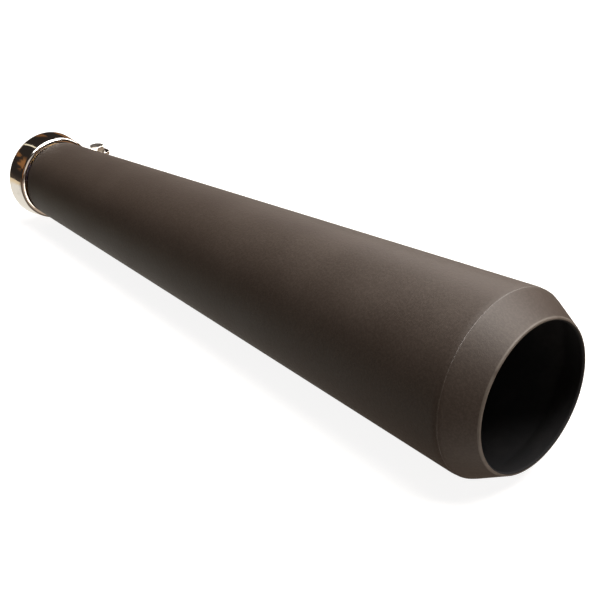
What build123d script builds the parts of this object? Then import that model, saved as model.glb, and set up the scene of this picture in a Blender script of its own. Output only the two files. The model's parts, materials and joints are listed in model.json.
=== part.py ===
from build123d import *
from math import atan2, cos, degrees, radians, sin
import os

os.makedirs("parts", exist_ok=True)

# Reverse-cone megaphone silencer for a motorcycle, in millimetres.
# Origin: centre of the open end of the inlet neck. +X runs along the axis to the tail, +Z is up.

# Outer shell: a long thin cone with a short reverse cone at its tail
cone_start_x = 22.0      # the neck stands this far out of the cone
cone_length = 410.0
inlet_r = 27.7           # outer radius of the cone at its small end
shoulder_r = 50.0        # radius the cone would reach at the shoulder, without the bend
shell_wall = 1.2
reverse_length = 17.5
mouth_r = 38.65          # clear radius of the tail opening
tail_wall = 1.4
bend_start_x = 427.8     # the shell starts to curl in here
shell_bend = 20.0
shell_turn = 11.1        # degrees the shell's edge curls in
tail_slope = 18.0        # slope of the tail piece where it meets the shell, in degrees
tail_bend = 14.0
tail_turn = 11.0
lip_r = 0.95             # rolled edge round the mouth
bead_width = 1.5         # weld between the shell and the tail piece
bead_height = 0.25

# Inlet neck for a 1 3/4 in pipe
neck_bore_r = 22.5
neck_wall = 2.0
neck_length = 62.0
socket_length = 49.0     # the pipe goes in this far, up to a step
nose_bore_r = 21.5       # bore beyond the step
neck_slots = 4
neck_slot_width = 2.4
neck_slot_length = 15.0
ring_thickness = 3.0
ring_inset = 0.2         # the front ring sits this far inside the cone's edge

# Clamp round the slotted part of the neck
clamp_start_x = 1.0
clamp_width = 17.6
clamp_front_r = 31.7     # the web tapers a little towards the cone
clamp_back_r = 29.7
clamp_sheet = 1.5
clamp_clearance = 0.3
clamp_corner = 2.6       # outside radius of the pressed corners
clamp_angle = 2.0        # direction of the ears above +Y
ear_gap = 13.0
ear_thickness = 2.4
ear_reach = 48.5
ear_width = 13.0
ear_corner = 5.0
bolt_reach = 39.8        # from the silencer's axis to the clamp bolt

# M6 fasteners: the clamp bolt and the baffle screw
m6_r = 3.0
m6_clearance_r = 3.3
m6_thread_r = 3.05       # threaded holes, at the thread's outside diameter
m6_flats = 10.0
m6_head = 4.0
m6_nut = 5.0
m6_tip_chamfer = 0.6
washer_r = 5.8
washer_bore_r = 3.2
washer_thickness = 1.0
spring_washer_r = 5.6
spring_washer_thickness = 1.4
thread_showing = 3.2     # length of the clamp bolt beyond its nut

# Removable baffle, carried by a perforated core tube
core_r = 19.0
core_wall = 1.2
core_start_x = 50.0
rim_start_x = 240.0
rim_width = 8.0
rim_r = 38.2
plate_sheet = 1.5
plate_bend = 1.3
bleed_holes = 8
bleed_r = 4.0
nose_length = 11.5
nose_clearance = 0.08
nose_lead = 0.6          # chamfer on the nose's front edge
holes_round = 8
hole_rows = 15
hole_r = 2.4
packing_start_x = 66.0
packing_gap = 1.6        # between the packing and the cone
disc_thickness = 2.0
disc_gap = 1.0
tie_count = 3
tie_wire_r = 0.8

# Hardware on the back of the shell, the side that faces the motorcycle
back_angle = -34.0       # direction of the back, below +Y
rail_x = 318.0
rail_length = 84.0
rail_width = 21.0
rail_height = 14.0
rail_sheet = 2.5
rail_corner = 3.5
slot_length = 56.0
slot_width = 9.0
slot_nut_height = 6.5
slot_nut_bore_r = 3.4    # M8 thread, at its minor diameter
side_gap = 0.5
top_gap = 0.3
screw_x = rim_start_x + rim_width / 2
boss_r = 7.0
boss_height = 6.5
boss_root = 3.0          # how far the boss starts below the surface before it is trimmed to it
boss_chamfer = 0.8
screw_hole_r = 3.4       # hole in the shell under the boss
screw_tip_gap = 0.1      # the screw stops just short of the baffle's rim

shoulder_x = cone_start_x + cone_length
mouth_x = shoulder_x + reverse_length
taper = (shoulder_r - inlet_r) / cone_length
taper_angle = degrees(atan2(shoulder_r - inlet_r, cone_length))
lip_centre = (mouth_x - lip_r, mouth_r + lip_r)
lip_slope = -tail_slope - tail_turn
neck_r = neck_bore_r + neck_wall


def cone_r(x):
    """Outer radius of the long cone at x."""
    return inlet_r + taper * (x - cone_start_x)


def bore_r(x):
    """Inner radius of the long cone at x."""
    return cone_r(x) - shell_wall


def back_plane(x, follow_taper=True):
    """Plane on the cone's back at x: z points out of the cone, x along it to the tail."""
    out_y, out_z = cos(radians(back_angle)), sin(radians(back_angle))
    origin = (x, cone_r(x) * out_y, cone_r(x) * out_z)
    if follow_taper:
        return Plane(origin, x_dir=(1, taper * out_y, taper * out_z), z_dir=(-taper, out_y, out_z))
    return Plane(origin, x_dir=(1, 0, 0), z_dir=(0, out_y, out_z))


def save(piece, name):
    piece.part.label = name
    export_step(piece.part, f"parts/{name}.step")


def turned(points):
    """A solid of revolution about X from its half section, given as (x, radius) points."""
    with BuildPart() as piece:
        with BuildSketch(Plane.XZ):
            with BuildLine():
                Polyline(*points, close=True)
            make_face()
        revolve(axis=Axis.X)
    return piece


def hexagon_head(plane, across_flats, height, hole_radius=0.0):
    """A hexagon standing on a plane, its outer corners taken off by a 30 degree chamfer."""
    crown = across_flats / 2
    corner = crown / cos(radians(30))
    drop = (corner - crown * 0.95) * 0.577
    with BuildPart() as head:
        with BuildSketch(plane):
            RegularPolygon(radius=crown, side_count=6, major_radius=False)
            if hole_radius:
                Circle(hole_radius, mode=Mode.SUBTRACT)
        extrude(amount=height)
        with BuildSketch(Plane(plane.origin, x_dir=plane.x_dir, z_dir=plane.y_dir)):
            with BuildLine():
                Polyline(
                    (0, 0), (corner, 0), (corner, -height + drop),
                    (crown * 0.95, -height), (0, -height), close=True,
                )
            make_face()
        revolve(axis=Axis(plane.origin, plane.z_dir), mode=Mode.INTERSECT)
    return head


def ring_disc(plane, outer_r, inner_r, thickness):
    """A flat washer standing on a plane."""
    with BuildPart() as disc:
        with BuildSketch(plane):
            Circle(outer_r)
            Circle(inner_r, mode=Mode.SUBTRACT)
        extrude(amount=thickness)
    return disc


# ---- Outer shell ----

def below(point, slope, depth):
    """The point this deep under a wall's surface, where the surface rises at a slope in degrees."""
    return (point[0] + depth * sin(radians(slope)), point[1] - depth * cos(radians(slope)))


def heading(slope):
    return (cos(radians(slope)), sin(radians(slope)))


def shell_line(depth):
    """The shell's meridian at a depth under its surface, from the inlet end to the seam."""
    start = (cone_start_x, cone_r(cone_start_x) - depth / cos(radians(taper_angle)))
    bend_start = below((bend_start_x, cone_r(bend_start_x)), taper_angle, depth)
    Line(start, bend_start)
    return JernArc(bend_start, heading(taper_angle), shell_bend - depth, -shell_turn)


def tail_line(depth):
    """The tail piece's meridian at a depth under its surface, from the seam to the lip."""
    start = below(seam, -tail_slope, depth)
    bend = JernArc(start, heading(-tail_slope), tail_bend - depth, -tail_turn)
    Line(bend @ 1, below(lip_centre, lip_slope, depth - lip_r))


with BuildLine() as seam_finder:
    shell_edge = shell_line(0)
seam = ((shell_edge @ 1).X, (shell_edge @ 1).Y)
seam_x, seam_r = seam


def body_of_revolution(meridian, depth):
    """Everything between a meridian and the axis, as a solid."""
    with BuildPart() as piece:
        with BuildSketch(Plane.XZ):
            with BuildLine() as outline:
                meridian(depth)
                ends = outline.vertices().sort_by(Axis.X)
                first, last = ends[0], ends[-1]
                Polyline((first.X, first.Y), (first.X, 0), (last.X, 0), (last.X, last.Y))
            make_face()
        revolve(axis=Axis.X)
    return piece


# Solid with the outside shape of the shell, used to trim what is welded onto it
cone_body = body_of_revolution(shell_line, 0)
cone_hollow = body_of_revolution(shell_line, shell_wall)
tail_body = body_of_revolution(tail_line, 0)
tail_hollow = body_of_revolution(tail_line, tail_wall)

front_round = 0.7
with BuildPart() as megaphone_shell:
    add(cone_body.part)
    add(cone_hollow.part, mode=Mode.SUBTRACT)
    front_edges = megaphone_shell.edges().filter_by(GeomType.CIRCLE).group_by(Axis.X)[0]
    fillet(front_edges.sort_by(SortBy.RADIUS)[-1], radius=front_round)
    # the tail piece's hollow also clears the shell's curled edge
    with BuildSketch(Plane.YZ.offset(bend_start_x)):
        Circle(seam_r - tail_wall)
    extrude(amount=shoulder_x - bend_start_x, mode=Mode.SUBTRACT)
    # hole for the baffle screw
    with BuildSketch(back_plane(screw_x, follow_taper=False)):
        Circle(screw_hole_r)
    extrude(amount=4 * shell_wall, both=True, mode=Mode.SUBTRACT)
save(megaphone_shell, "megaphone_shell")

# The tail piece: a pressed ring that goes on from the shell's curled edge to a rolled lip
with BuildPart() as reverse_cone:
    add(tail_body.part)
    add(tail_hollow.part, mode=Mode.SUBTRACT)
    # the hollow runs on at both ends: at the seam, and out through the mouth
    with BuildSketch(Plane.YZ.offset(seam_x - 1)):
        Circle(seam_r - tail_wall)
    extrude(amount=1.6, mode=Mode.SUBTRACT)
    wall_end_x, wall_end_r = below(lip_centre, lip_slope, tail_wall - lip_r)
    with BuildSketch(Plane.YZ.offset(wall_end_x - 0.1)):
        Circle(wall_end_r)
    extrude(amount=2 * lip_r, mode=Mode.SUBTRACT)
    with BuildSketch(Plane.XZ):
        with Locations(lip_centre):
            Circle(lip_r)
    revolve(axis=Axis.X)
save(reverse_cone, "reverse_cone")

# Low weld bead in the crease between the two
with BuildPart() as shoulder_weld:
    with BuildSketch(Plane.XZ):
        with Locations((seam_x, seam_r - bead_width / 2 + bead_height)):
            Circle(bead_width / 2)
    revolve(axis=Axis.X)
    add(cone_body.part, mode=Mode.SUBTRACT)
    add(tail_body.part, mode=Mode.SUBTRACT)
save(shoulder_weld, "shoulder_weld")

# ---- Inlet ----

with BuildPart() as inlet_neck:
    with BuildSketch(Plane.YZ):
        Circle(neck_r)
        Circle(neck_bore_r, mode=Mode.SUBTRACT)
    extrude(amount=socket_length)
    with BuildSketch(Plane.YZ.offset(socket_length)):
        Circle(neck_r)
        Circle(nose_bore_r, mode=Mode.SUBTRACT)
    extrude(amount=neck_length - socket_length)
    with BuildSketch(Plane.YZ):
        for slot in range(neck_slots // 2):
            Rectangle(2.2 * neck_r, neck_slot_width, rotation=45 + slot * 360 / neck_slots)
    extrude(amount=neck_slot_length, mode=Mode.SUBTRACT)
    for slot in range(neck_slots // 2):
        angle = radians(45 + slot * 360 / neck_slots)
        with BuildSketch(Plane((neck_slot_length, 0, 0), x_dir=(1, 0, 0), z_dir=(0, cos(angle), sin(angle)))):
            Circle(neck_slot_width / 2)
        extrude(amount=1.1 * neck_r, both=True, mode=Mode.SUBTRACT)
save(inlet_neck, "inlet_neck")

ring_x = cone_start_x + ring_inset
front_ring = turned([
    (ring_x, neck_r), (ring_x, inlet_r - shell_wall),
    (cone_start_x + ring_thickness, bore_r(cone_start_x + ring_thickness)),
    (cone_start_x + ring_thickness, neck_r),
])
save(front_ring, "front_ring")

# Fillet weld in the corner between the neck and the front ring, inside the shell's edge
neck_weld_leg = 1.2
neck_weld_throat = 0.65
with BuildPart() as neck_weld:
    with BuildSketch(Plane.XZ):
        with BuildLine():
            Line((ring_x, neck_r), (ring_x - neck_weld_leg, neck_r))
            ThreePointArc(
                (ring_x - neck_weld_leg, neck_r),
                (ring_x - neck_weld_throat, neck_r + 1.5 * neck_weld_throat),
                (ring_x, neck_r + 1.4 * neck_weld_leg),
            )
            Line((ring_x, neck_r + 1.4 * neck_weld_leg), (ring_x, neck_r))
        make_face()
    revolve(axis=Axis.X)
save(neck_weld, "neck_weld")

# Ring that centres the neck's inner end in the cone
support_x = neck_length - 8
support_end_x = support_x + ring_thickness
support_ring = turned([
    (support_x, neck_r), (support_x, bore_r(support_x)),
    (support_end_x, bore_r(support_end_x)), (support_end_x, neck_r),
])
save(support_ring, "neck_support_ring")

# ---- Inlet clamp ----

clamp_end_x = clamp_start_x + clamp_width
clamp_mid_x = clamp_start_x + clamp_width / 2
clamp_bore_r = neck_r + clamp_clearance
ear_out = (0, cos(radians(clamp_angle)), sin(radians(clamp_angle)))
ear_up = (0, -sin(radians(clamp_angle)), cos(radians(clamp_angle)))


def ear_plane(height):
    """Plane of the ears: x along the silencer, y out to the ear's tip, z up the clamp bolt."""
    origin = (clamp_mid_x, ear_up[1] * height, ear_up[2] * height)
    return Plane(origin, x_dir=(1, 0, 0), z_dir=ear_up)


def bolt_plane(height):
    """Plane square to the clamp bolt, at a height along it from the middle of the gap."""
    origin = (
        clamp_mid_x,
        ear_out[1] * bolt_reach + ear_up[1] * height,
        ear_out[2] * bolt_reach + ear_up[2] * height,
    )
    return Plane(origin, x_dir=(1, 0, 0), z_dir=ear_up)


with BuildPart() as clamp_band:
    # channel section: a flat web with both edges turned in to the neck
    with BuildSketch(Plane.XZ):
        with BuildLine():
            Polyline(
                (clamp_start_x, clamp_bore_r),
                (clamp_start_x, clamp_front_r),
                (clamp_end_x, clamp_back_r),
                (clamp_end_x, clamp_bore_r),
                (clamp_end_x - clamp_sheet, clamp_bore_r),
                (clamp_end_x - clamp_sheet, clamp_back_r - clamp_sheet),
                (clamp_start_x + clamp_sheet, clamp_front_r - clamp_sheet),
                (clamp_start_x + clamp_sheet, clamp_bore_r),
                close=True,
            )
        make_face()
    revolve(axis=Axis.X)
    for side in (0, -1):
        side_edges = clamp_band.edges().filter_by(GeomType.CIRCLE).group_by(Axis.X)[side]
        fillet(side_edges.sort_by(SortBy.RADIUS)[-1], radius=clamp_corner)
    # ears, before the gap is cut through both
    ear_block = ear_gap + 2 * ear_thickness
    ear_root = clamp_back_r - 3.0
    with BuildSketch(ear_plane(-ear_block / 2)):
        with Locations((0, (ear_reach + ear_root) / 2)):
            Rectangle(ear_width, ear_reach - ear_root)
    extrude(amount=ear_block)
    ear_tips = clamp_band.edges().filter_by(Axis(origin=(0, 0, 0), direction=ear_up))
    ear_tips = ear_tips.sort_by(lambda edge: edge.center().dot(Vector(*ear_out)))[-2:]
    fillet(ear_tips, radius=ear_corner)
    with BuildSketch(ear_plane(-ear_gap / 2)):
        with Locations((0, (ear_reach + clamp_bore_r) / 2)):
            Rectangle(2 * clamp_width, ear_reach - clamp_bore_r + 8)
    extrude(amount=ear_gap, mode=Mode.SUBTRACT)
    with BuildSketch(bolt_plane(0)):
        Circle(m6_clearance_r)
    extrude(amount=ear_block, both=True, mode=Mode.SUBTRACT)
save(clamp_band, "clamp_band")

ear_top = ear_gap / 2 + ear_thickness
upper_washer = ring_disc(bolt_plane(ear_top), washer_r, washer_bore_r, washer_thickness)
save(upper_washer, "clamp_bolt_washer")
washer_seat = bolt_plane(-ear_top - washer_thickness)
lower_washer = ring_disc(washer_seat, washer_r, washer_bore_r, washer_thickness)
save(lower_washer, "clamp_nut_washer")

head_seat = ear_top + washer_thickness
bolt_tip = head_seat + m6_nut + thread_showing
bolt_head = hexagon_head(bolt_plane(head_seat), m6_flats, m6_head)
with BuildPart() as clamp_bolt:
    add(bolt_head.part)
    with BuildSketch(bolt_plane(-bolt_tip)):
        Circle(m6_r)
    extrude(amount=bolt_tip + head_seat)
    tip_edge = clamp_bolt.edges().filter_by(GeomType.CIRCLE)
    tip_edge = tip_edge.sort_by(Axis(origin=(0, 0, 0), direction=ear_up))[0]
    chamfer(tip_edge, length=m6_tip_chamfer)
save(clamp_bolt, "clamp_bolt")

nut_plane = Plane(
    bolt_plane(-head_seat).origin, x_dir=(1, 0, 0), z_dir=(0, -ear_up[1], -ear_up[2]),
)
clamp_nut = hexagon_head(nut_plane, m6_flats, m6_nut, hole_radius=m6_thread_r)
save(clamp_nut, "clamp_nut")

# ---- Removable baffle ----

core_end_x = rim_start_x + rim_width + 2
first_row_x = packing_start_x + 6
row_pitch = (rim_start_x - 6 - first_row_x) / (hole_rows - 1)
with BuildPart() as core_tube:
    with BuildSketch(Plane.YZ.offset(core_start_x)):
        Circle(core_r)
        Circle(core_r - core_wall, mode=Mode.SUBTRACT)
    extrude(amount=core_end_x - core_start_x)
    for row in range(hole_rows):
        row_x = first_row_x + row * row_pitch
        stagger = (row % 2) * 180 / holes_round
        for hole in range(holes_round // 2):
            angle = radians(stagger + hole * 360 / holes_round)
            with BuildSketch(Plane((row_x, 0, 0), x_dir=(1, 0, 0), z_dir=(0, cos(angle), sin(angle)))):
                Circle(hole_r)
            extrude(amount=core_r + 1, both=True, mode=Mode.SUBTRACT)
save(core_tube, "core_tube")

# Sliding nose that centres the core tube in the neck, beyond the step
nose_r = nose_bore_r - nose_clearance
nose_start_x = core_start_x - 0.5
core_nose = turned([
    (nose_start_x, core_r), (nose_start_x, nose_r - nose_lead),
    (nose_start_x + nose_lead, nose_r), (core_start_x + nose_length, nose_r),
    (core_start_x + nose_length, core_r),
])
save(core_nose, "core_nose")

# Disc that closes the front of the packing
front_disc_x = packing_start_x - disc_thickness
front_disc_r = bore_r(front_disc_x) - disc_gap
front_disc = turned([
    (front_disc_x, core_r), (front_disc_x, front_disc_r),
    (packing_start_x, front_disc_r), (packing_start_x, core_r),
])
save(front_disc, "packing_front_disc")

# Dished plate with a turned rim that seats where the cone is as narrow as the tail mouth
rim_end_x = rim_start_x + rim_width
with BuildPart() as rear_plate:
    with BuildSketch(Plane.XZ):
        with BuildLine():
            Polyline(
                (rim_start_x, core_r), (rim_start_x, rim_r), (rim_end_x, rim_r),
                (rim_end_x, rim_r - plate_sheet), (rim_start_x + plate_sheet, rim_r - plate_sheet),
                (rim_start_x + plate_sheet, core_r), close=True,
            )
        make_face()
    revolve(axis=Axis.X)
    bend = rear_plate.edges().filter_by(GeomType.CIRCLE).group_by(Axis.X)[0].sort_by(SortBy.RADIUS)[-1]
    fillet(bend, radius=plate_bend)
    # bleed holes round the outlet
    with BuildSketch(Plane.YZ.offset(rim_start_x)):
        with PolarLocations((core_r + rim_r) / 2, bleed_holes):
            Circle(bleed_r)
    extrude(amount=plate_sheet, mode=Mode.SUBTRACT)
save(rear_plate, "rear_plate")

# Fillet weld between the core tube and the plate
core_weld_x = rim_start_x + plate_sheet
core_weld_leg = 2.2
core_weld_bulge = 1.3
with BuildPart() as core_weld:
    with BuildSketch(Plane.XZ):
        with BuildLine():
            Line((core_weld_x, core_r), (core_weld_x + core_weld_leg, core_r))
            ThreePointArc(
                (core_weld_x + core_weld_leg, core_r),
                (core_weld_x + core_weld_bulge, core_r + core_weld_bulge),
                (core_weld_x, core_r + core_weld_leg),
            )
            Line((core_weld_x, core_r + core_weld_leg), (core_weld_x, core_r))
        make_face()
    revolve(axis=Axis.X)
save(core_weld, "core_weld")

# Glass-fibre sleeve, as thick as the cone allows, with a groove under each wire tie
packing_end_x = rim_start_x - 0.5
tie_spacing = (packing_end_x - packing_start_x) / tie_count
tie_places = [packing_start_x + tie_spacing * (tie + 0.5) for tie in range(tie_count)]


def packing_r(x):
    return bore_r(x) - packing_gap


with BuildPart() as packing:
    with BuildSketch(Plane.XZ):
        with BuildLine():
            Polyline(
                (packing_start_x, core_r), (packing_start_x, packing_r(packing_start_x)),
                (packing_end_x, packing_r(packing_end_x)), (packing_end_x, core_r), close=True,
            )
        make_face()
    revolve(axis=Axis.X)
    for tie_x in tie_places:
        with BuildSketch(Plane.YZ.offset(tie_x - 2 * tie_wire_r)):
            Circle(packing_r(tie_x) + 2)
            Circle(packing_r(tie_x) - 2 * tie_wire_r, mode=Mode.SUBTRACT)
        extrude(amount=4 * tie_wire_r, mode=Mode.SUBTRACT)
save(packing, "glass_fibre_packing")

with BuildPart() as packing_ties:
    for tie_x in tie_places:
        with BuildSketch(Plane.XZ):
            with Locations((tie_x, packing_r(tie_x) - tie_wire_r)):
                Circle(tie_wire_r)
        revolve(axis=Axis.X)
save(packing_ties, "packing_wire_ties")

# ---- Baffle screw on the back ----

screw_out = back_plane(screw_x, follow_taper=False)
rim_depth = cone_r(screw_x) - rim_r
with BuildPart() as screw_boss:
    with BuildSketch(screw_out.offset(-boss_root)):
        Circle(boss_r)
    extrude(amount=boss_root + boss_height)
    top_edge = screw_boss.edges().filter_by(GeomType.CIRCLE).sort_by(Axis(screw_out.origin, screw_out.z_dir))[-1]
    chamfer(top_edge, length=boss_chamfer)
    with BuildSketch(screw_out.offset(-boss_root)):
        Circle(m6_thread_r)
    extrude(amount=boss_root + boss_height, mode=Mode.SUBTRACT)
    add(cone_body.part, mode=Mode.SUBTRACT)
save(screw_boss, "screw_boss")

washer_place = screw_out.offset(boss_height)
screw_washer = ring_disc(washer_place, spring_washer_r, washer_bore_r, spring_washer_thickness)
save(screw_washer, "screw_lock_washer")

screw_seat = boss_height + spring_washer_thickness
screw_head = hexagon_head(screw_out.offset(screw_seat), m6_flats, m6_head)
with BuildPart() as baffle_screw:
    add(screw_head.part)
    with BuildSketch(screw_out.offset(-rim_depth + screw_tip_gap)):
        Circle(m6_r)
    extrude(amount=rim_depth - screw_tip_gap + screw_seat)
    tip_edge = baffle_screw.edges().filter_by(GeomType.CIRCLE)
    tip_edge = tip_edge.sort_by(Axis(screw_out.origin, screw_out.z_dir))[0]
    chamfer(tip_edge, length=m6_tip_chamfer)
save(baffle_screw, "baffle_screw")

# ---- Hanger rail on the back, with a nut that slides inside it ----

rail_plane = back_plane(rail_x)
rail_foot = 6.0          # how far the legs start below the surface before they are trimmed to it
rail_inside = rail_width - 2 * rail_sheet
head_room = rail_height - rail_sheet
with BuildPart() as hanger_rail:
    with BuildSketch(rail_plane.offset(-rail_foot)):
        Rectangle(rail_length, rail_width)
    extrude(amount=rail_foot + rail_height)
    top_face = hanger_rail.faces().sort_by(Axis(rail_plane.origin, rail_plane.z_dir))[-1]
    long_edges = top_face.edges().filter_by(Axis(rail_plane.origin, rail_plane.x_dir))
    fillet(long_edges, radius=rail_corner)
    with BuildSketch(rail_plane.offset(-rail_foot)):
        Rectangle(rail_length, rail_inside)
    extrude(amount=rail_foot + head_room, mode=Mode.SUBTRACT)
    with BuildSketch(rail_plane):
        SlotOverall(slot_length, slot_width)
    extrude(amount=rail_height, mode=Mode.SUBTRACT)
    add(cone_body.part, mode=Mode.SUBTRACT)
save(hanger_rail, "hanger_rail")

# Fillet welds along both legs of the rail
leg_drop = cone_r(rail_x) - (cone_r(rail_x) ** 2 - (rail_width / 2) ** 2) ** 0.5
weld_leg = 2.8
weld_end = 5.0           # the welds stop this far from the rail's ends
with BuildPart() as rail_welds:
    for side in (-1, 1):
        with BuildSketch(rail_plane.offset(-leg_drop - weld_leg)):
            with Locations((0, side * (rail_width + weld_leg) / 2)):
                RectangleRounded(rail_length - 2 * weld_end, weld_leg, 0.45 * weld_leg)
        extrude(amount=1.7 * weld_leg)
    add(cone_body.part, mode=Mode.SUBTRACT)
save(rail_welds, "hanger_rail_welds")

nut_width = rail_inside - 2 * side_gap
nut_length = nut_width + 4
with BuildPart() as slot_nut:
    with BuildSketch(rail_plane.offset(head_room - top_gap - slot_nut_height)):
        RectangleRounded(nut_length, nut_width, 1.0)
        Circle(slot_nut_bore_r, mode=Mode.SUBTRACT)
    extrude(amount=slot_nut_height)
save(slot_nut, "hanger_slot_nut")

print("overall length", mouth_x)
print("cone half angle", round(degrees(atan2(shoulder_r - inlet_r, cone_length)), 3))
print("clamp bolt axis through", bolt_plane(0).origin, "along", ear_up)
print("baffle screw axis through", screw_out.origin, "along", screw_out.z_dir)
print("hanger slot axis through", rail_plane.origin, "along", rail_plane.x_dir, "out", rail_plane.z_dir)
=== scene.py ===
import json
import math

import bmesh
import bpy
from mathutils import Matrix, Vector


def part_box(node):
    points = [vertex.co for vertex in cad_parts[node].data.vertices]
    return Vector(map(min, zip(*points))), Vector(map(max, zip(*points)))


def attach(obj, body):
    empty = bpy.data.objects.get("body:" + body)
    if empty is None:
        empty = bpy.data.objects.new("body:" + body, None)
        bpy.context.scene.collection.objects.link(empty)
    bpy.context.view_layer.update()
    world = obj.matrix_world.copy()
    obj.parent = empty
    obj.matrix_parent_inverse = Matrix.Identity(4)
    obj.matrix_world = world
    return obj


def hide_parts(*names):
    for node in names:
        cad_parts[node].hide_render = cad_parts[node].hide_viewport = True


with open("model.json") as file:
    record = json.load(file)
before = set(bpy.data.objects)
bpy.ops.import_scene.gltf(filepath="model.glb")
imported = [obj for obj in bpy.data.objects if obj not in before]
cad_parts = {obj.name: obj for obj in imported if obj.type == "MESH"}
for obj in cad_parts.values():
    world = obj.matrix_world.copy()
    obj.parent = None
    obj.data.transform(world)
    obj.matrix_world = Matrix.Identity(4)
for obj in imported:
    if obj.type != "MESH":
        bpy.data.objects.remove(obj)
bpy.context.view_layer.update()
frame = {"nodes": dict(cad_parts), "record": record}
nodes = frame["nodes"]
mm = 0.001
print("frame loaded:", len(nodes), "nodes")

joints = {joint["name"]: joint for joint in frame["record"]["behaviour"]["joints"]}


def span(node):
    # a designed part's lowest and highest x, in millimetres
    low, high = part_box(node)
    return low[0] / mm, high[0] / mm


def outerR(node):
    # a turned part's outer radius, in millimetres
    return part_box(node)[1][1] / mm


# node trees

class Wire:
    # one socket of a node tree; Python maths on it adds Math nodes
    def __init__(self, graph, socket):
        self.graph, self.socket = graph, socket

    def maths(self, operation, *values):
        return self.graph.node("ShaderNodeMath", dict(enumerate(values)), operation=operation)

    def __add__(self, other):
        return self.maths("ADD", self, other)

    def __radd__(self, other):
        return self.maths("ADD", other, self)

    def __sub__(self, other):
        return self.maths("SUBTRACT", self, other)

    def __rsub__(self, other):
        return self.maths("SUBTRACT", other, self)

    def __mul__(self, other):
        return self.maths("MULTIPLY", self, other)

    def __truediv__(self, other):
        return self.maths("DIVIDE", self, other)

    def size(self):
        return self.maths("ABSOLUTE", self)

    def step(self, low, high):
        # 0 below low and 1 above high, with a soft edge between
        sockets = {"Value": self, "From Min": low, "From Max": high}
        return self.graph.node("ShaderNodeMapRange", sockets, interpolation_type="SMOOTHSTEP")


class Graph:
    # adds nodes to a shader or geometry tree and links them
    def __init__(self, tree):
        self.tree = tree

    def node(self, kind, sockets=None, out=0, **settings):
        made = self.tree.nodes.new(kind)
        for name, value in settings.items():
            setattr(made, name, value)
        for key, value in (sockets or {}).items():
            if isinstance(value, Wire):
                self.tree.links.new(value.socket, made.inputs[key])
            else:
                made.inputs[key].default_value = value
        return Wire(self, made.outputs[out]) if made.outputs else made

    def blend(self, factor, first, second):
        # factor 0 gives the first colour, 1 the second
        sockets = {"Factor": factor, 6: first, 7: second}
        return self.node("ShaderNodeMix", sockets, out=2, data_type="RGBA")


def rgb(red, green, blue):
    return (red, green, blue, 1)


class Finish(Graph):
    # a material with one Principled shader; constants sit on the shader's own sockets
    def __init__(self, name, **constants):
        self.material = bpy.data.materials.new(name)
        self.material.use_nodes = True
        super().__init__(self.material.node_tree)
        self.shader = self.tree.nodes["Principled BSDF"]
        for socket, value in constants.items():
            self.shader.inputs[socket.replace("_", " ")].default_value = value
        self.place = self.node("ShaderNodeTexCoord", out=3)

    def noise(self, scale, detail=2.0, roughness=0.5, stretch=None):
        place = self.place
        if stretch:
            place = self.node("ShaderNodeVectorMath", {0: place, 1: stretch}, operation="MULTIPLY")
        sockets = {"Vector": place, "Scale": scale, "Detail": detail, "Roughness": roughness}
        return self.node("ShaderNodeTexNoise", sockets)

    def feed(self, socket, wire):
        self.tree.links.new(wire.socket, self.shader.inputs[socket])

    def bump(self, height):
        # height in metres
        sockets = {"Height": height, "Distance": 1.0, "Strength": 1.0}
        self.feed("Normal", self.node("ShaderNodeBump", sockets))


# finishes

paint = {
    "colour": rgb(0.0290, 0.0215, 0.0172),
    "pale": rgb(0.0440, 0.0340, 0.0280),  # where the coat is thin or dusty
    "rubbedGlintColour": rgb(0.0900, 0.0790, 0.0690),  # rubbed edges, and a painted highlight line on the lip
    "roughness": 0.56,
    "gloss": 0.30,
    "cloud": 26.0,  # patches of thinner coat
    "grain": 2600.0,  # fine texture of the high-temperature coat
    "grainHeight": 0.00005,
    "speck": 820.0,  # coarser grains that catch the light
    "speckHeight": 0.00005,
    "peel": 420.0,
    "peelHeight": 0.00006,
}


def paintCoat(finish):
    # patches, specks, bump height and colour, alike for both paints
    cloud = finish.noise(paint["cloud"], detail=3.0)
    speck = finish.noise(paint["speck"], detail=2.0)
    grain = finish.noise(paint["grain"], detail=1.5)
    height = grain * paint["grainHeight"] + speck * paint["speckHeight"]
    thin = cloud.step(0.42, 0.75) * 0.35 + speck.step(0.38, 0.66) * 0.55
    return cloud, speck, height, finish.blend(thin, paint["colour"], paint["pale"])


def blackPaint(name, roughness, gloss):
    finish = Finish(name, Specular_IOR_Level=gloss)
    cloud, speck, height, colour = paintCoat(finish)
    peel = finish.noise(paint["peel"], detail=1.0)
    finish.feed("Base Color", colour)
    finish.feed("Roughness", cloud * 0.10 + speck * 0.10 + (roughness - 0.10))
    finish.bump(height + peel * paint["peelHeight"])
    return finish.material


def rubbedGlintPaint(name, ringX, ringWidth):
    # black paint rubbed paler along a narrow ring at ringX; the paler ring is also a painted highlight
    finish = Finish(name, Specular_IOR_Level=paint["gloss"])
    cloud, speck, height, colour = paintCoat(finish)
    along = finish.node("ShaderNodeSeparateXYZ", {0: finish.place})
    # the paler ring: rubbed paint and a painted highlight line on the lip's crest
    rubbedGlint = finish.noise(90.0, detail=2.0).step(0.20, 0.60)
    rubbedGlint = rubbedGlint * (1 - ((along - ringX).size() / ringWidth).step(0.35, 1.0))
    finish.feed("Base Color", finish.blend(rubbedGlint, colour, paint["rubbedGlintColour"]))
    finish.feed("Roughness", (paint["roughness"] - 0.04) - rubbedGlint * 0.1 + cloud * 0.08)
    finish.bump(height)
    return finish.material


chrome = {
    "colour": rgb(0.74, 0.72, 0.69),
    "haze": rgb(0.60, 0.57, 0.53),
    "roughness": 0.045,
}


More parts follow.
